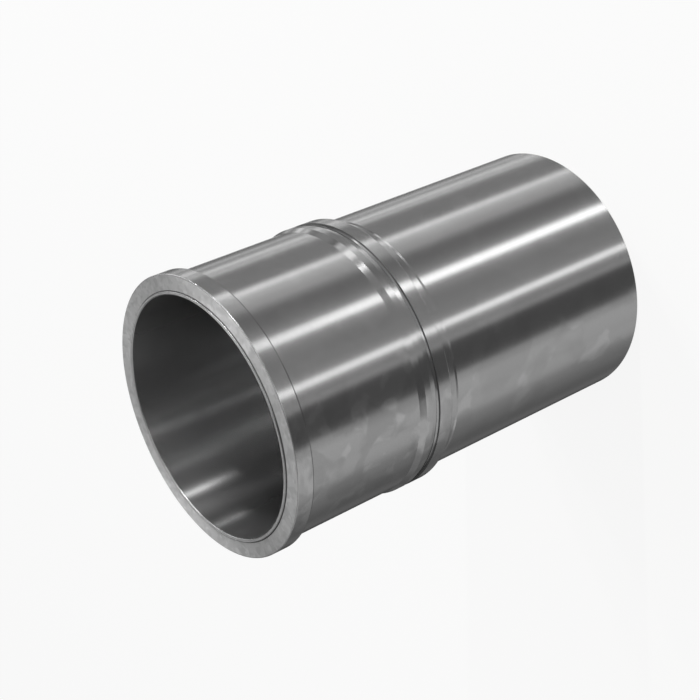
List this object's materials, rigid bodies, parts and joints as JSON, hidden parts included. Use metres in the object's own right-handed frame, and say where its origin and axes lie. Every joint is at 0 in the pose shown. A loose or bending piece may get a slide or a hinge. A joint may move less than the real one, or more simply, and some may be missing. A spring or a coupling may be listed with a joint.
{
  "type": "cylinder liner",
  "caption": "Mid-stop wet cylinder liner: thin flange with a raised fire lip, a collar with a seal groove and stop face at mid length, and a plain lower barrel.",
  "frame": {"origin": "centre of the lower end face, on the bore's axis", "axes": "+Z along the bore's axis, from the plain lower end up to the flange"},
  "size_m": [0.1516, 0.1516, 0.2425],
  "materials": {
    "liner": "fine turned and ground outside, honed bore"
  },
  "bodies": {
    "root": {"cylinder_liner": "liner"}
  },
  "joints": []
}
